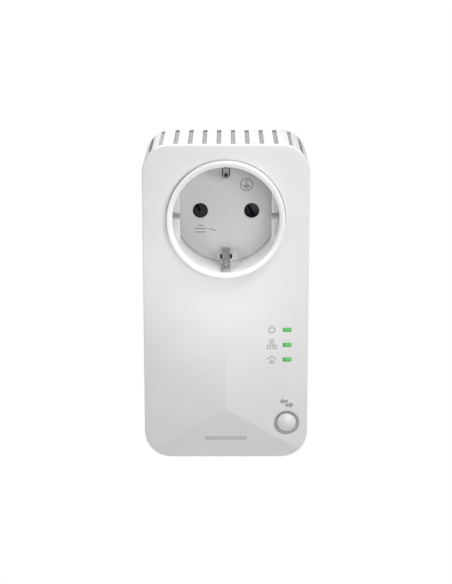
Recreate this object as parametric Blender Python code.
"""Powerline adapter with a pass-through Schuko socket, as an assembly of separate pieces.

Frame: the origin is the centre of the rear plug's end face, midway between its pins.
+Y points into the wall, +Z up, and +X to the right as the front is seen. The front faces -Y.
"""

import math

import bmesh
import bpy
from mathutils import Matrix, Vector

MM = 0.001
GAP = 0.3 * MM

# Case: two shells that meet at a seam close behind the front face.
CASE_HALF_WIDTH = 30.2 * MM
CASE_TOP = 27.0 * MM
CASE_BOTTOM = -90.6 * MM
CASE_CORNER = 10.0 * MM
CASE_FRONT = -55.3 * MM
CASE_SEAM = -51.8 * MM
CASE_BACK = -18.0 * MM
CASE_WALL = 2.0 * MM
VENT_WALL = 1.0 * MM
CORNER_STEPS = 6
PAST = 1 * MM  # how far a cutter reaches past the face it opens
SHARP_ANGLE = math.radians(35)

# Front relief: a ridge that rises downwards to an apex, above a sloping bottom facet.
RIDGE_TOP = -29.7 * MM
RIDGE_END = -65.7 * MM
RIDGE_ROWS = 4
APEX_Z = -70.8 * MM
APEX_RISE = 3.4 * MM

# Vents in the top wall, open at the seam like a comb.
VENT_PITCH = 5.18 * MM
VENT_WIDTH = 1.65 * MM
VENT_BACK = -20.3 * MM
FLAT_VENTS = 8
CORNER_VENT_ANGLES = (math.radians(20), math.radians(49))

# Socket, to the Schuko sheet: 19 mm pin pitch, round recess with two pairs of guide ribs.
PIN_X = 9.5 * MM
FLOOR_Y = -39.3 * MM
FLOOR_THICKNESS = 2.0 * MM
CUP_INNER = 19.4 * MM
CUP_OUTER = 21.0 * MM
RIM_OUTER = 21.5 * MM
RIM_FRONT = -57.8 * MM
CUP_BACK = -35.8 * MM
RIB_X = 16.8 * MM
RIB_FRONT = -49.3 * MM
RIB_HALF_CHORD = 10.0 * MM
RIB_NOTCH = 1.1 * MM
PIN_HOLE = 2.8 * MM
RIM_FLANGE = 23.6 * MM
RIM_FLANGE_THICKNESS = 1.6 * MM
EARTH_WIDTH = 2.9 * MM
EARTH_THICKNESS = 0.8 * MM
EARTH_ROOT = 17.5 * MM
EARTH_RECESS = (18.6 * MM, 20.4 * MM)
EARTH_RECESS_FRONT = -56.2 * MM
FLOOR_SLOT = (16.6 * MM, 18.4 * MM)
EARTH_SLOT_HALF_WIDTH = 2.2 * MM

# Shutter: a rotor on a pivot behind the socket floor.
ROTOR_FRONT = FLOOR_Y + FLOOR_THICKNESS + GAP
ROTOR_THICKNESS = 2.0 * MM
ROTOR_LOBE = 3.3 * MM
ROTOR_ARM = 1.7 * MM
ROTOR_HUB = 3.4 * MM
RAMP_ANGLE = math.radians(14)
PIVOT_RADIUS = 1.3 * MM
PIVOT_BACK = -33.4 * MM

# Plug, coaxial with the socket.
PLUG_RADIUS = 18.5 * MM
PLUG_FLANGE = 21.0 * MM
PLUG_BACK = -22.3 * MM
PLUG_HOLLOW = 14.8 * MM
PLUG_HOLLOW_END = -17.0 * MM
PLUG_PIN_RADIUS = 2.4 * MM
PLUG_PIN_LENGTH = 19.0 * MM
PLUG_PIN_ROOT = -19.1 * MM
PLUG_CHAMFER = 0.8 * MM
PLUG_EARTH_Z = 16.3 * MM
PLUG_EARTH_WIDTH = 5.6 * MM
PLUG_EARTH_FRONT = -26.7 * MM
PLUG_EARTH_BACK = -0.8 * MM
GUIDE_GROOVE_X = 15.9 * MM
GUIDE_GROOVE_HALF_WIDTH = 2.8 * MM
PAST_PLUG = 20 * MM  # beyond the plug's side, for cutters

# Boards, parallel to the front.
BOARD_THICKNESS = 1.6 * MM
BOARD_HALF_WIDTH = 26.5 * MM
BOARD_TOP = -25.5 * MM
BOARD_BOTTOM = -87.0 * MM
MAIN_FRONT = -47.6 * MM
MAIN_BACK = MAIN_FRONT + BOARD_THICKNESS
PSU_FRONT = -30.0 * MM
PSU_BACK = PSU_FRONT + BOARD_THICKNESS

# Network jack in the bottom wall.
JACK_HALF_WIDTH = 8.0 * MM
JACK_FRONT = MAIN_BACK + GAP
JACK_BACK = JACK_FRONT + 13.5 * MM
JACK_MOUTH = -90.3 * MM
JACK_TOP = -69.4 * MM

# Indicators and the pairing button.
LED_X = 22.45 * MM
LED_HEIGHTS = {"power": -41.3 * MM, "network": -47.0 * MM, "powerline": -52.6 * MM}
LED_HALF_WIDTH = 1.575 * MM
LED_HALF_HEIGHT = 0.75 * MM
BUTTON_X = 22.47 * MM
BUTTON_Z = -77.0 * MM
BEZEL_RADIUS = 4.65 * MM
BEZEL_INNER = 3.75 * MM
BEZEL_FRONT = -55.35 * MM
CAP_RADIUS = 3.43 * MM
CAP_FLANGE = 4.0 * MM
PLUNGER_RADIUS = 1.75 * MM
PLUNGER_FRONT = -52.0 * MM

# Case screws, driven from the back into posts of the front cover.
SCREW_PLACES = {
    "upper_left": (-22.5 * MM, 19.0 * MM),
    "upper_right": (22.5 * MM, 19.0 * MM),
    "lower_left": (-24.0 * MM, -84.0 * MM),
    "lower_right": (24.0 * MM, -84.0 * MM),
}
POST_RADIUS = 2.6 * MM
POST_BACK = -26.0 * MM
SCREW_SHANK = 1.1 * MM
SCREW_HEAD = 2.4 * MM
SCREW_HEAD_FRONT = -19.4 * MM
SCREW_HEAD_BACK = -18.2 * MM
SCREW_TIP = -37.0 * MM

# Clips and strap behind the socket.
CLIP_FRONT = -34.6 * MM
CLIP_BACK = -19.4 * MM
CLIP_HALF = 3.4 * MM
STRAP_FRONT = -34.2 * MM
STRAP_BACK = -27.5 * MM
STRAP_HALF_WIDTH = 2.5 * MM
STRAP_HALF_THICKNESS = 0.4 * MM
CARRIER_RADIUS = 20.7 * MM
CARRIER_FRONT = -32.6 * MM
CARRIER_BACK = -31.0 * MM

LABEL_HALF_WIDTH = 20.0 * MM
LABEL_LOW = -70.0 * MM
LABEL_HIGH = -42.0 * MM
LABEL_DEPTH = 0.5 * MM

COLOURS = {
    "white_plastic": ((0.80, 0.80, 0.79), 0.42, 0.0),
    "grey_plastic": ((0.52, 0.53, 0.53), 0.50, 0.0),
    "dark_plastic": ((0.03, 0.035, 0.04), 0.45, 0.0),
    "button_plastic": ((0.78, 0.78, 0.78), 0.35, 0.0),
    "bezel_plastic": ((0.38, 0.39, 0.40), 0.50, 0.0),
    "lens": ((0.15, 0.60, 0.15), 0.25, 0.0),
    "nickel": ((0.62, 0.62, 0.60), 0.25, 1.0),
    "brass": ((0.72, 0.56, 0.28), 0.30, 1.0),
    "zinc_steel": ((0.60, 0.61, 0.62), 0.35, 1.0),
    "spring_steel": ((0.55, 0.55, 0.56), 0.30, 1.0),
    "board": ((0.03, 0.20, 0.08), 0.50, 0.0),
    "chip": ((0.03, 0.03, 0.03), 0.55, 0.0),
    "ceramic": ((0.70, 0.68, 0.60), 0.50, 0.0),
    "film": ((0.70, 0.55, 0.08), 0.45, 0.0),
    "sleeve": ((0.02, 0.03, 0.06), 0.40, 0.0),
    "aluminium": ((0.70, 0.70, 0.71), 0.40, 1.0),
    "wire": ((0.10, 0.16, 0.45), 0.50, 0.0),
    "label": ((0.75, 0.75, 0.74), 0.60, 0.0),
}


def clear_scene():
    for obj in list(bpy.data.objects):
        bpy.data.objects.remove(obj)


def make_materials():
    for name, (colour, roughness, metallic) in COLOURS.items():
        material = bpy.data.materials.new(name)
        material.use_nodes = True
        shader = material.node_tree.nodes["Principled BSDF"]
        shader.inputs["Base Color"].default_value = (*colour, 1.0)
        shader.inputs["Roughness"].default_value = roughness
        shader.inputs["Metallic"].default_value = metallic


# Building blocks.


def new_object(name, mesh_data, material=None):
    """Turn a bmesh into a named object with outward normals. With no material it is a helper."""
    bmesh.ops.recalc_face_normals(mesh_data, faces=mesh_data.faces)
    mesh = bpy.data.meshes.new(name)
    mesh_data.to_mesh(mesh)
    mesh_data.free()
    obj = bpy.data.objects.new(name, mesh)
    bpy.context.scene.collection.objects.link(obj)
    if material:
        mesh.materials.append(bpy.data.materials[material])
        mesh.shade_smooth()
        mesh.set_sharp_from_angle(angle=SHARP_ANGLE)
    else:
        obj.hide_render = True
        obj.display_type = "WIRE"
    return obj


def block(name, low, high, material=None):
    """A box from its low corner to its high corner."""
    mesh_data = bmesh.new()
    size = [b - a for a, b in zip(low, high)]
    centre = [(a + b) / 2 for a, b in zip(low, high)]
    placed = Matrix.Translation(centre) @ Matrix.Diagonal((*size, 1.0))
    bmesh.ops.create_cube(mesh_data, size=1.0, matrix=placed)
    return new_object(name, mesh_data, material)


def prism(name, outline, front, back, material=None):
    """Extrude an (x, z) outline along Y from front to back."""
    mesh_data = bmesh.new()
    verts = [mesh_data.verts.new((x, front, z)) for x, z in outline]
    face = mesh_data.faces.new(verts)
    grown = bmesh.ops.extrude_face_region(mesh_data, geom=[face])["geom"]
    moved = [item for item in grown if isinstance(item, bmesh.types.BMVert)]
    bmesh.ops.translate(mesh_data, vec=(0, back - front, 0), verts=moved)
    return new_object(name, mesh_data, material)


def turned(name, profile, place, material=None, steps=32, closed=False):
    """Turn a profile of (radius, y) about the Y axis through place = (x, z).

    A closed profile makes a ring. An open one is capped at both ends.
    """
    mesh_data = bmesh.new()
    x, z = place
    rings = []
    for radius, y in profile:
        angles = [math.tau * (step + 0.5) / steps for step in range(steps)]
        points = [(x + radius * math.cos(a), y, z + radius * math.sin(a)) for a in angles]
        rings.append([mesh_data.verts.new(point) for point in points])
    pairs = list(zip(rings, rings[1:]))
    if closed:
        pairs.append((rings[-1], rings[0]))
    else:
        mesh_data.faces.new(rings[0])
        mesh_data.faces.new(rings[-1])
    for ring, following in pairs:
        for step in range(steps):
            after = (step + 1) % steps
            mesh_data.faces.new((ring[step], ring[after], following[after], following[step]))
    return new_object(name, mesh_data, material)


def rod(name, radius, front, back, place, material=None, steps=24):
    return turned(name, [(radius, front), (radius, back)], place, material, steps)


def ribbon(name, path, thickness, width, material=None):
    """A strip of sheet metal whose centre line is a path of (y, z) points, centred on x = 0."""
    points = [Vector(point) for point in path]
    sides = []
    for index, point in enumerate(points):
        before = points[max(index - 1, 0)]
        after = points[min(index + 1, len(points) - 1)]
        along = (after - before).normalized()
        across = Vector((-along.y, along.x)) * (thickness / 2)
        sides.append((point + across, point - across))
    outline = [first for first, _ in sides] + [second for _, second in reversed(sides)]
    mesh_data = bmesh.new()
    verts = [mesh_data.verts.new((-width / 2, y, z)) for y, z in outline]
    face = mesh_data.faces.new(verts)
    grown = bmesh.ops.extrude_face_region(mesh_data, geom=[face])["geom"]
    moved = [item for item in grown if isinstance(item, bmesh.types.BMVert)]
    bmesh.ops.translate(mesh_data, vec=(width, 0, 0), verts=moved)
    return new_object(name, mesh_data, material)


def wire(name, points, radius, material):
    """A round wire through the points, as a curve with filled caps."""
    curve = bpy.data.curves.new(name, "CURVE")
    curve.dimensions = "3D"
    curve.bevel_depth = radius
    curve.bevel_resolution = 1
    curve.use_fill_caps = True
    spline = curve.splines.new("POLY")
    spline.points.add(len(points) - 1)
    for item, point in zip(spline.points, points):
        item.co = (*point, 1.0)
    curve.materials.append(bpy.data.materials[material])
    obj = bpy.data.objects.new(name, curve)
    bpy.context.scene.collection.objects.link(obj)
    return obj


def combine(target, operation, *others):
    for other in others:
        modifier = target.modifiers.new(other.name, "BOOLEAN")
        modifier.operation = operation
        modifier.object = other


def add(target, *others):
    combine(target, "UNION", *others)


def cut(target, *others):
    combine(target, "DIFFERENCE", *others)


def rounded_outline(half_width, low, high, radius, steps=CORNER_STEPS):
    """The (x, z) points of a rectangle with round corners, anticlockwise from the right edge's foot."""
    corners = [
        (half_width - radius, high - radius, 0),
        (-half_width + radius, high - radius, 90),
        (-half_width + radius, low + radius, 180),
        (half_width - radius, low + radius, 270),
    ]
    points = []
    for x, z, start in corners:
        for step in range(steps + 1):
            angle = math.radians(start + 90 * step / steps)
            points.append((x + radius * math.cos(angle), z + radius * math.sin(angle)))
    return points


def case_outline(inset, top_inset=None):
    """The case's outline moved in by inset, and by top_inset at the top edge."""
    top_inset = inset if top_inset is None else top_inset
    radius = CASE_CORNER - (inset + top_inset) / 2
    return rounded_outline(
        CASE_HALF_WIDTH - inset, CASE_BOTTOM + inset, CASE_TOP - top_inset, radius
    )


# The case.


def ridge_height(z):
    """How far the ridge stands out at a height: it eases in at the top and out at its end."""
    share = min(max((RIDGE_TOP - z) / (RIDGE_TOP - RIDGE_END), 0.0), 1.0)
    eased = share**2 * (3 - 2 * share)
    return APEX_RISE * (share + eased) / 2


def relief_prism(name, inset, front, back, material=None):
    """The case's outline extruded, with the ridge and apex of the relief on its front."""
    edge = CASE_HALF_WIDTH - inset
    drop = (RIDGE_END - RIDGE_TOP) / RIDGE_ROWS
    rows = [RIDGE_TOP + drop * row for row in range(RIDGE_ROWS + 1)]
    corners = case_outline(inset)
    upper = corners[: len(corners) // 2]
    lower = corners[len(corners) // 2:]
    mesh_data = bmesh.new()

    def place(points, y):
        return [mesh_data.verts.new((x, y, z)) for x, z in points]

    left = place([(-edge, z) for z in rows], front)
    right = place([(edge, z) for z in rows], front)
    ridge = [mesh_data.verts.new((0, front - ridge_height(z), z)) for z in rows]
    apex = mesh_data.verts.new((0, front - APEX_RISE, APEX_Z))
    above, below = place(upper, front), place(lower, front)
    mesh_data.faces.new([right[0], *above, left[0], ridge[0]])
    for row in range(RIDGE_ROWS):
        for side in (left, right):
            mesh_data.faces.new((ridge[row], side[row], ridge[row + 1]))
            mesh_data.faces.new((side[row], side[row + 1], ridge[row + 1]))
    fan = [ridge[-1], left[-1], *below, right[-1], ridge[-1]]
    for first, second in zip(fan, fan[1:]):
        mesh_data.faces.new((first, second, apex))
    ring = [*above, *left, *below, *right[::-1]]
    rear = [mesh_data.verts.new((vert.co.x, back, vert.co.z)) for vert in ring]
    mesh_data.faces.new(rear)
    for index in range(len(ring)):
        after = (index + 1) % len(ring)
        mesh_data.faces.new((ring[index], ring[after], rear[after], rear[index]))
    return new_object(name, mesh_data, material)


def make_front_cover():
    cover = relief_prism("front_cover", 0.0, CASE_FRONT, CASE_SEAM, "white_plastic")
    inside = CASE_FRONT + CASE_WALL
    cut(cover, relief_prism("front_pocket", CASE_WALL, inside, CASE_SEAM + PAST))
    for place_name, place in SCREW_PLACES.items():
        post_front = inside - 0.5 * MM
        add(cover, rod(f"post_{place_name}", POST_RADIUS, post_front, POST_BACK, place))
        pilot = SCREW_SHANK + GAP
        cut(cover, rod(f"pilot_{place_name}", pilot, SCREW_TIP - PAST, POST_BACK + PAST, place))
    cutter_front = CASE_FRONT - APEX_RISE - PAST
    opening = rod("socket_opening", RIM_OUTER + GAP, cutter_front, CASE_SEAM, (0, 0), steps=48)
    cut(cover, opening)
    for led, height in LED_HEIGHTS.items():
        low = (LED_X - LED_HALF_WIDTH - GAP, cutter_front, height - LED_HALF_HEIGHT - GAP)
        high = (LED_X + LED_HALF_WIDTH + GAP, CASE_SEAM, height + LED_HALF_HEIGHT + GAP)
        cut(cover, block(f"window_{led}", low, high))
    place = (BUTTON_X, BUTTON_Z)
    cut(cover, rod("button_opening", BEZEL_RADIUS + GAP, cutter_front, CASE_SEAM, place))


def vent_slot(name, turn, offset):
    """A slot cutter through the top wall. It stands upright, or leans by turn on a corner."""
    front = CASE_SEAM - 2 * MM
    low = (-VENT_WIDTH / 2, front, CASE_CORNER - 3 * MM)
    high = (VENT_WIDTH / 2, VENT_BACK, CASE_CORNER + 2 * MM)
    slot = block(name, low, high)
    slot.rotation_euler = (0, turn, 0)
    slot.location = (offset, 0, CASE_TOP - CASE_CORNER)
    return slot


def cut_vents(cover):
    for index in range(FLAT_VENTS):
        offset = (index - (FLAT_VENTS - 1) / 2) * VENT_PITCH
        cut(cover, vent_slot(f"vent_{index}", 0, offset))
    corner = CASE_HALF_WIDTH - CASE_CORNER
    for index, angle in enumerate(CORNER_VENT_ANGLES):
        cut(cover, vent_slot(f"vent_right_{index}", angle, corner))
        cut(cover, vent_slot(f"vent_left_{index}", -angle, -corner))


def make_rear_cover():
    shell_front = CASE_SEAM + GAP
    cover = prism("rear_cover", case_outline(0), shell_front, CASE_BACK, "white_plastic")
    pocket_outline = case_outline(CASE_WALL, VENT_WALL)
    cut(cover, prism("rear_pocket", pocket_outline, shell_front - PAST, CASE_BACK - CASE_WALL))
    cut_vents(cover)
    for place_name, place in SCREW_PLACES.items():
        sleeve_front = POST_BACK + GAP
        add(cover, rod(f"sleeve_{place_name}", POST_RADIUS + 0.6 * MM, sleeve_front,
                       CASE_BACK - CASE_WALL / 2, place))
        cut(cover, rod(f"through_{place_name}", SCREW_SHANK + GAP, POST_BACK - PAST,
                       CASE_BACK + PAST, place))
        cut(cover, rod(f"counterbore_{place_name}", SCREW_HEAD + GAP, SCREW_HEAD_FRONT - GAP,
                       CASE_BACK + PAST, place))
    cut(cover, rod("plug_opening", PLUG_RADIUS + GAP, CASE_BACK - CASE_WALL - PAST,
                   CASE_BACK + PAST, (0, 0), steps=48))
    jack_low = (-JACK_HALF_WIDTH - GAP, JACK_FRONT - GAP, CASE_BOTTOM - PAST)
    jack_high = (JACK_HALF_WIDTH + GAP, JACK_BACK + GAP, CASE_BOTTOM + CASE_WALL + PAST)
    cut(cover, block("jack_opening", jack_low, jack_high))
    label_low = (-LABEL_HALF_WIDTH - GAP, CASE_BACK - LABEL_DEPTH, LABEL_LOW - GAP)
    label_high = (LABEL_HALF_WIDTH + GAP, CASE_BACK + PAST, LABEL_HIGH + GAP)
    cut(cover, block("label_recess", label_low, label_high))


def make_vent_baffle():
    """A curved sheet close under the vents, which stops short of their rear ends."""
    thickness = 1 * MM
    outer = case_outline(CASE_WALL + GAP, VENT_WALL + GAP)
    inner = case_outline(CASE_WALL + GAP + thickness, VENT_WALL + GAP + thickness)
    upper = 2 * (CORNER_STEPS + 1)
    outline = outer[:upper] + inner[:upper][::-1]
    prism("vent_baffle", outline, CASE_SEAM + 1.3 * MM, VENT_BACK - 0.6 * MM, "grey_plastic")


def make_case_screws():
    for place_name, place in SCREW_PLACES.items():
        profile = [
            (0.4 * MM, SCREW_TIP),
            (SCREW_SHANK, SCREW_TIP + 1 * MM),
            (SCREW_SHANK, SCREW_HEAD_FRONT),
            (SCREW_HEAD, SCREW_HEAD_FRONT),
            (SCREW_HEAD, SCREW_HEAD_BACK - 0.4 * MM),
            (1.6 * MM, SCREW_HEAD_BACK),
        ]
        turned(f"case_screw_{place_name}", profile, place, "zinc_steel", steps=12)


def make_rating_label():
    low = (-LABEL_HALF_WIDTH, CASE_BACK - 0.2 * MM, LABEL_LOW)
    high = (LABEL_HALF_WIDTH, CASE_BACK - 0.05 * MM, LABEL_HIGH)
    block("rating_label", low, high, "label")


# The socket.


def rib_outline(side, low, high):
    """Outline of one guide rib: a flat chord at RIB_X, and an arc sunk into the cup's wall."""
    sunk = CUP_INNER + 0.8 * MM
    steps = 4
    first, last = math.asin(low / sunk), math.asin(high / sunk)
    angles = [first + (last - first) * step / steps for step in range(steps + 1)]
    arc = [(side * sunk * math.cos(angle), sunk * math.sin(angle)) for angle in angles]
    return [(side * RIB_X, low), *arc, (side * RIB_X, high)]


def make_socket_cup():
    flange = CASE_FRONT + CASE_WALL + GAP
    profile = [
        (CUP_INNER, CUP_BACK),
        (CUP_INNER, -56.9 * MM),
        (20.8 * MM, RIM_FRONT),
        (21.3 * MM, -57.6 * MM),
        (RIM_OUTER, -57.1 * MM),
        (RIM_OUTER, flange),
        (RIM_FLANGE, flange),
        (RIM_FLANGE, flange + RIM_FLANGE_THICKNESS),
        (CUP_OUTER, flange + RIM_FLANGE_THICKNESS),
        (CUP_OUTER, CUP_BACK),
    ]
    cup = turned("socket_cup", profile, (0, 0), "white_plastic", steps=48, closed=True)
    for side, side_name in ((-1, "left"), (1, "right")):
        spans = {"upper": (RIB_NOTCH, RIB_HALF_CHORD), "lower": (-RIB_HALF_CHORD, -RIB_NOTCH)}
        for span_name, (low, high) in spans.items():
            outline = rib_outline(side, low, high)
            add(cup, prism(f"rib_{side_name}_{span_name}", outline, RIB_FRONT, FLOOR_Y - GAP))
    for side, name in ((1, "top"), (-1, "bottom")):
        ends = sorted(side * end for end in EARTH_RECESS)
        low = (-EARTH_WIDTH / 2 - 0.5 * MM, EARTH_RECESS_FRONT, ends[0])
        high = (EARTH_WIDTH / 2 + 0.5 * MM, FLOOR_Y + PAST, ends[1])
        cut(cup, block(f"earth_recess_{name}", low, high))


def make_socket_faceplate():
    plate = rod("socket_faceplate", CUP_INNER - GAP, FLOOR_Y, FLOOR_Y + FLOOR_THICKNESS,
                (0, 0), "grey_plastic", steps=48)
    inset_disc_faces(plate, 0.7 * CUP_INNER)
    for side, name in ((-1, "left"), (1, "right")):
        place = (side * PIN_X, 0)
        cut(plate, rod(f"pin_hole_{name}", PIN_HOLE, FLOOR_Y - PAST, CUP_BACK, place, steps=20))
    for side, name in ((1, "top"), (-1, "bottom")):
        ends = sorted(side * end for end in FLOOR_SLOT)
        low = (-EARTH_SLOT_HALF_WIDTH, FLOOR_Y - PAST, ends[0])
        high = (EARTH_SLOT_HALF_WIDTH, CUP_BACK, ends[1])
        cut(plate, block(f"floor_slot_{name}", low, high))
    pivot_front = FLOOR_Y + FLOOR_THICKNESS / 2
    add(plate, rod("shutter_pivot", PIVOT_RADIUS, pivot_front, PIVOT_BACK, (0, 0), steps=12))


def inset_disc_faces(obj, depth):
    """Give both end faces of a turned piece a small face of its own in the middle."""
    mesh_data = bmesh.new()
    mesh_data.from_mesh(obj.data)
    ends = [face for face in mesh_data.faces if len(face.verts) > 4]
    bmesh.ops.inset_individual(mesh_data, faces=ends, thickness=depth)
    mesh_data.to_mesh(obj.data)
    mesh_data.free()


def make_shutter_rotor():
    back = ROTOR_FRONT + ROTOR_THICKNESS
    rotor = rod("shutter_rotor", ROTOR_HUB, ROTOR_FRONT, back, (0, 0), "dark_plastic", steps=24)
    low = (-PIN_X, ROTOR_FRONT + 0.3 * MM, -ROTOR_ARM)
    high = (PIN_X, back - 0.3 * MM, ROTOR_ARM)
    add(rotor, block("rotor_arm", low, high))
    for side, name in ((-1, "left"), (1, "right")):
        add(rotor, rod(f"lobe_{name}", ROTOR_LOBE, ROTOR_FRONT + 0.1 * MM, back - 0.1 * MM,
                       (side * PIN_X, 0), steps=20))
        ramp = block(f"ramp_{name}", (-4 * MM, -2 * MM, -8 * MM), (4 * MM, 0, 8 * MM))
        ramp.rotation_euler = (side * RAMP_ANGLE, 0, 0)
        ramp.location = (side * (PIN_X + 1.5 * MM), ROTOR_FRONT + 0.3 * MM, 0)
        cut(rotor, ramp)
    bore = PIVOT_RADIUS + 0.1 * MM
    cut(rotor, rod("rotor_bore", bore, ROTOR_FRONT - PAST, back + PAST, (0, 0), steps=12))


def make_shutter_spring():
    """A torsion spring of round wire, wound round the shutter's pivot."""
    turns, steps, radius = 1.5, 12, 2.2 * MM
    front = ROTOR_FRONT + ROTOR_THICKNESS + 0.6 * MM
    pitch = 0.9 * MM
    points = []
    for step in range(int(turns * steps) + 1):
        angle = math.tau * step / steps
        y = front + pitch * step / steps
        points.append((radius * math.cos(angle), y, radius * math.sin(angle)))
    points.append((-4.4 * MM, front + pitch * turns, -0.8 * MM))
    wire("shutter_spring", points, 0.25 * MM, "spring_steel")


def make_socket_earth_contacts():
    """Two bowed strips. Each stands in its own plane and pivots outwards where it is held."""
    path = [
        (-34.6, 17.5), (-39.5, 17.5), (-40.6, 16.9), (-42.9, 13.6),
        (-44.2, 13.0), (-45.6, 13.3), (-54.0, 18.0), (-55.6, 18.5),
    ]
    for side, name in ((1, "top"), (-1, "bottom")):
        points = [(y * MM, side * z * MM) for y, z in path]
        ribbon(f"earth_contact_{name}", points, EARTH_THICKNESS, EARTH_WIDTH, "nickel")


def make_earth_strap():
    """A U-shaped strap that joins both socket earth contacts and both plug earth contacts."""
    outside = EARTH_ROOT + STRAP_HALF_THICKNESS
    inside = EARTH_ROOT - STRAP_HALF_THICKNESS
    low = (-STRAP_HALF_WIDTH, STRAP_FRONT, -outside)
    high = (STRAP_HALF_WIDTH, STRAP_BACK + STRAP_HALF_THICKNESS, outside)
    strap = block("earth_strap", low, high, "brass")
    hollow_low = (-STRAP_HALF_WIDTH - PAST, STRAP_FRONT - PAST, -inside)
    hollow_high = (STRAP_HALF_WIDTH + PAST, STRAP_BACK - STRAP_HALF_THICKNESS, inside)
    cut(strap, block("strap_hollow", hollow_low, hollow_high))


def make_contact_clips():
    """Sprung tubes that grip the pins of the plug put in at the front."""
    bore_end = CLIP_BACK - 0.7 * MM
    slit_half, slit_end = 0.5 * MM, -26.0 * MM
    for side, name in ((-1, "left"), (1, "right")):
        centre = side * PIN_X
        clip = block(f"contact_clip_{name}", (centre - CLIP_HALF, CLIP_FRONT, -CLIP_HALF),
                     (centre + CLIP_HALF, CLIP_BACK, CLIP_HALF), "brass")
        cut(clip, rod(f"clip_bore_{name}", PLUG_PIN_RADIUS + GAP / 2, CLIP_FRONT - PAST,
                      bore_end, (centre, 0), steps=16))
        cut(clip, block(f"clip_slit_{name}", (centre - slit_half, CLIP_FRONT - PAST, 0),
                        (centre + slit_half, slit_end, CLIP_HALF + PAST)))


def make_contact_carrier():
    """The insulating plate that holds the clips and clears the earth strap."""
    front, back = CARRIER_FRONT - PAST, CARRIER_BACK + PAST
    carrier = rod("contact_carrier", CARRIER_RADIUS, CARRIER_FRONT, CARRIER_BACK, (0, 0),
                  "white_plastic", steps=32)
    half = CLIP_HALF + GAP
    for side, name in ((-1, "left"), (1, "right")):
        centre = side * PIN_X
        cut(carrier, block(f"clip_window_{name}", (centre - half, front, -half),
                           (centre + half, back, half)))
    strap_half = STRAP_HALF_WIDTH + 0.5 * MM
    for side, name in ((1, "top"), (-1, "bottom")):
        ends = sorted((side * (EARTH_ROOT - 3 * GAP), side * (CARRIER_RADIUS + PAST)))
        cut(carrier, block(f"strap_window_{name}", (-strap_half, front, ends[0]),
                           (strap_half, back, ends[1])))


# The plug.


def make_plug_body():
    profile = [
        (PLUG_FLANGE, PLUG_BACK),
        (PLUG_FLANGE, CASE_BACK - CASE_WALL - GAP),
        (PLUG_RADIUS, CASE_BACK - CASE_WALL - GAP),
        (PLUG_RADIUS, -PLUG_CHAMFER),
        (PLUG_RADIUS - PLUG_CHAMFER, 0),
    ]
    body = turned("plug_body", profile, (0, 0), "white_plastic", steps=48)
    inset_disc_faces(body, 0.65 * PLUG_RADIUS)
    cut(body, rod("plug_hollow", PLUG_HOLLOW, PLUG_BACK - PAST, PLUG_HOLLOW_END, (0, 0)))
    for side, name in ((-1, "left"), (1, "right")):
        place = (side * PIN_X, 0)
        cut(body, rod(f"plug_bore_{name}", PLUG_PIN_RADIUS + GAP, PLUG_BACK, PAST, place, steps=16))
        ends = sorted((side * GUIDE_GROOVE_X, side * PAST_PLUG))
        cut(body, block(f"guide_groove_{name}", (ends[0], -17.0 * MM, -GUIDE_GROOVE_HALF_WIDTH),
                        (ends[1], PAST, GUIDE_GROOVE_HALF_WIDTH)))
    cut_plug_earth_channels(body)
    cut(body, rod("earth_pin_bore", 2.4 * MM, -14.0 * MM, PAST, (0, 10 * MM), steps=16))


def cut_plug_earth_channels(body):
    """A channel for each earth contact, and a slot at its root for the contact to pass through."""
    inner_step = 0.05 * MM
    half = PLUG_EARTH_WIDTH / 2 + GAP
    floor = PLUG_EARTH_Z - EARTH_THICKNESS / 2 - GAP
    roof = PLUG_EARTH_Z + EARTH_THICKNESS / 2 + GAP
    for side, name in ((1, "top"), (-1, "bottom")):
        ends = sorted((side * floor, side * PAST_PLUG))
        cut(body, block(f"earth_channel_{name}", (-half, -16.0 * MM, ends[0]),
                        (half, PAST, ends[1])))
        ends = sorted((side * (floor + inner_step), side * roof))
        cut(body, block(f"earth_slot_{name}", (inner_step - half, PLUG_BACK - PAST, ends[0]),
                        (half - inner_step, -15.0 * MM, ends[1])))


def make_plug_pins():
    tip = PLUG_PIN_LENGTH
    profile = [
        (PLUG_PIN_RADIUS, PLUG_PIN_ROOT),
        (PLUG_PIN_RADIUS, tip - 1.8 * MM),
        (2.0 * MM, tip - 0.7 * MM),
        (1.1 * MM, tip),
    ]
    for side, name in ((-1, "left"), (1, "right")):
        turned(f"plug_pin_{name}", profile, (side * PIN_X, 0), "nickel", steps=20)


def make_plug_earth_contacts():
    half_width, half = PLUG_EARTH_WIDTH / 2, EARTH_THICKNESS / 2
    for side, name in ((1, "top"), (-1, "bottom")):
        ends = sorted((side * (PLUG_EARTH_Z - half), side * (PLUG_EARTH_Z + half)))
        block(f"plug_earth_{name}", (-half_width, PLUG_EARTH_FRONT, ends[0]),
              (half_width, PLUG_EARTH_BACK, ends[1]), "nickel")


# The boards and what stands on them.


def make_board(name, front):
    back = front + BOARD_THICKNESS
    low = (-BOARD_HALF_WIDTH, front, BOARD_BOTTOM)
    high = (BOARD_HALF_WIDTH, back, BOARD_TOP)
    board = block(name, low, high, "board")
    clearance = POST_RADIUS + 1 * MM
    post_x, post_z = SCREW_PLACES["lower_right"]
    for side, side_name in ((-1, "left"), (1, "right")):
        ends = sorted((side * (post_x - clearance), side * CASE_HALF_WIDTH))
        cut(board, block(f"{name}_notch_{side_name}", (ends[0], front - PAST, CASE_BOTTOM),
                         (ends[1], back + PAST, post_z + clearance)))


def on_board(name, face, direction, centre, size, material):
    """A block standing on a board: centre is (x, z), and size is (width, height, rise)."""
    x, z = centre
    width, height, rise = size
    near = face + direction * GAP
    far = near + direction * rise
    low = (x - width / 2, min(near, far), z - height / 2)
    high = (x + width / 2, max(near, far), z + height / 2)
    return block(name, low, high, material)


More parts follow.
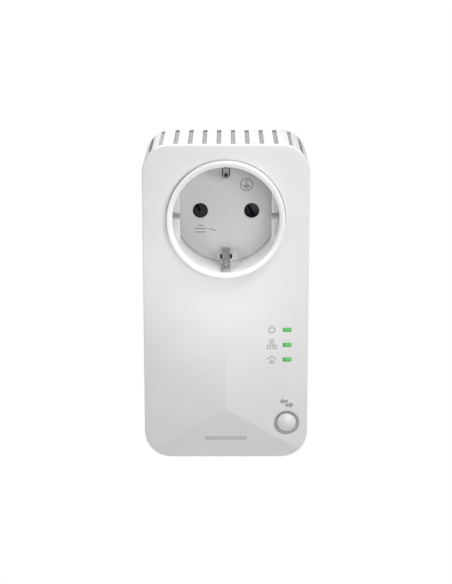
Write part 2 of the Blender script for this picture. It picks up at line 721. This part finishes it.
def make_main_board_parts():
    """Chips on the front of the main board, towards the front cover."""
    parts = {
        "powerline_chip": ((-9, -44), (13, 13, 1.2), "chip"),
        "memory_chip": ((-9, -60), (8, 6, 1.2), "chip"),
        "crystal": ((5, -60), (5, 3.2, 1.2), "nickel"),
        "ethernet_transformer": ((-4, -76), (15, 9, 3.6), "chip"),
    }
    for name, (centre, size, material) in parts.items():
        x, z = centre
        on_board(name, MAIN_FRONT, -1, (x * MM, z * MM), [v * MM for v in size], material)
    for led, height in LED_HEIGHTS.items():
        on_board(f"led_{led}", MAIN_FRONT, -1, (LED_X, height), (3 * MM, 1.4 * MM, 0.8 * MM),
                 "ceramic")
    make_heat_sink((-9 * MM, -44 * MM))


def make_heat_sink(centre):
    x, z = centre
    half = 7 * MM
    back = MAIN_FRONT - 1.8 * MM
    front = back - 2.8 * MM
    sink = block("heat_sink", (x - half, front, z - half), (x + half, back, z + half), "aluminium")
    gaps = 4
    for index in range(gaps):
        middle = x + (index - (gaps - 1) / 2) * 3 * MM
        cut(sink, block(f"fin_gap_{index}", (middle - 0.8 * MM, front - PAST, z - half - PAST),
                        (middle + 0.8 * MM, back - 0.9 * MM, z + half + PAST)))


def make_power_board_parts():
    """Mains parts on the front of the power board, in the space between the boards."""
    parts = {
        "film_capacitor": ((-15, -34), (18, 8, 14), "film"),
        "flyback_transformer": ((0, -56), (16, 16, 14), "ceramic"),
        "coupling_transformer": ((-18, -76), (10, 9, 9), "chip"),
        "bridge_rectifier": ((-18, -46), (8, 6.5, 3.4), "chip"),
        "optocoupler": ((14, -73), (6.5, 4.6, 3.6), "chip"),
        "board_header": ((20, -64), (5, 12, 15.4), "dark_plastic"),
    }
    for name, (centre, size, material) in parts.items():
        x, z = centre
        on_board(name, PSU_FRONT, -1, (x * MM, z * MM), [v * MM for v in size], material)
    near = PSU_FRONT - GAP
    cans = {
        "input_capacitor": (5.0, 15.0, (18, -49), "sleeve"),
        "output_capacitor": (4.0, 12.0, (-19, -61), "sleeve"),
        "fuse": (4.2, 8.0, (2, -42), "chip"),
    }
    for name, (radius, rise, (x, z), material) in cans.items():
        rod(name, radius * MM, near - rise * MM, near, (x * MM, z * MM), material)
    make_varistor((19 * MM, -37 * MM), near)
    make_mains_choke(near)


def make_varistor(centre, near):
    """A disc that stands on its edge."""
    x, z = centre
    disc = rod("varistor", 4.6 * MM, -2 * MM, 2 * MM, (0, 0), "wire", steps=20)
    disc.rotation_euler = (0, 0, math.radians(90))
    disc.location = (x, near - 4.8 * MM, z)


def make_mains_choke(near):
    """A round ferrite core lying flat on the board."""
    place = (2 * MM, -32.5 * MM)
    profile = [
        (2.2 * MM, near), (4.6 * MM, near), (5.0 * MM, near - 1 * MM),
        (5.0 * MM, near - 5 * MM), (4.6 * MM, near - 6 * MM), (2.2 * MM, near - 6 * MM),
    ]
    turned("mains_choke", profile, place, "brass", steps=20, closed=True)


def make_mains_wires():
    """Two short wires from the contact clips to the power board."""
    route = [(-29.0, -4.0), (-29.0, -14.0), (-29.6, -19.0), (-31.0, -23.0), (-31.4, -26.2)]
    for side, name in ((-1, "left"), (1, "right")):
        points = [(side * PIN_X, y * MM, z * MM) for y, z in route]
        wire(f"mains_wire_{name}", points, 0.6 * MM, "wire")


def make_network_jack():
    """A shielded jack whose mouth is flush with the case's bottom."""
    jack = block("rj45_jack", (-JACK_HALF_WIDTH, JACK_FRONT, JACK_MOUTH),
                 (JACK_HALF_WIDTH, JACK_BACK, JACK_TOP), "nickel")
    mouth, depth = JACK_MOUTH - PAST, JACK_MOUTH + 13.6 * MM
    back = JACK_BACK - 1.8 * MM
    steps = ((5.9, 0.0, 6.9), (3.1, 6.4, 8.9), (1.9, 8.4, 10.2))
    for index, (half_width, near, far) in enumerate(steps):
        low = (-half_width * MM, back - far * MM, mouth)
        high = (half_width * MM, back - near * MM, depth)
        cut(jack, block(f"jack_cavity_{index}", low, high))


# The indicators and the button.


def make_light_pipe():
    """A clear bar with three prongs, each flush with the front above its own LED."""
    rear, bar_front = -50.2 * MM, -51.2 * MM
    pipe = block("light_pipe", (LED_X - LED_HALF_WIDTH, bar_front, -54.3 * MM),
                 (LED_X + LED_HALF_WIDTH, rear, -39.6 * MM), "lens")
    for led, height in LED_HEIGHTS.items():
        flush = CASE_FRONT - ridge_height(height) * (1 - LED_X / CASE_HALF_WIDTH)
        low = (LED_X - LED_HALF_WIDTH, flush, height - LED_HALF_HEIGHT)
        high = (LED_X + LED_HALF_WIDTH, bar_front + 0.5 * MM, height + LED_HALF_HEIGHT)
        add(pipe, block(f"prong_{led}", low, high))


def make_button():
    place = (BUTTON_X, BUTTON_Z)
    bezel = [
        (BEZEL_INNER, BEZEL_FRONT + 1.1 * MM), (BEZEL_RADIUS, BEZEL_FRONT + 1.1 * MM),
        (BEZEL_RADIUS, BEZEL_FRONT), (BEZEL_INNER, BEZEL_FRONT),
    ]
    turned("button_bezel", bezel, place, "bezel_plastic", steps=24, closed=True)
    flange_front, flange_back, stem = -53.9 * MM, -53.1 * MM, 1.5 * MM
    cap = [
        (0.4 * MM, -56.85 * MM), (1.5 * MM, -56.75 * MM), (2.6 * MM, -56.35 * MM),
        (3.2 * MM, -55.95 * MM), (CAP_RADIUS, -55.55 * MM), (CAP_RADIUS, flange_front),
        (CAP_FLANGE, flange_front), (CAP_FLANGE, flange_back), (stem, flange_back),
        (stem, PLUNGER_FRONT - GAP),
    ]
    turned("pair_button", cap, place, "button_plastic", steps=24)


def make_switch():
    place = (BUTTON_X, BUTTON_Z)
    body = on_board("switch_body", MAIN_FRONT, -1, place, (6 * MM, 6 * MM, 3 * MM), "dark_plastic")
    well = rod("switch_well", PLUNGER_RADIUS + GAP, -53 * MM, -49.0 * MM, place, steps=16)
    cut(body, well)
    rod("switch_plunger", PLUNGER_RADIUS, PLUNGER_FRONT, -49.7 * MM, place, "ceramic", steps=16)


def build_adapter():
    clear_scene()
    make_materials()
    make_front_cover()
    make_rear_cover()
    make_vent_baffle()
    make_case_screws()
    make_rating_label()
    make_socket_cup()
    make_socket_faceplate()
    make_shutter_rotor()
    make_shutter_spring()
    make_socket_earth_contacts()
    make_earth_strap()
    make_contact_clips()
    make_contact_carrier()
    make_plug_body()
    make_plug_pins()
    make_plug_earth_contacts()
    make_board("main_pcb", MAIN_FRONT)
    make_board("psu_pcb", PSU_FRONT)
    make_main_board_parts()
    make_power_board_parts()
    make_mains_wires()
    make_network_jack()
    make_light_pipe()
    make_button()
    make_switch()


build_adapter()
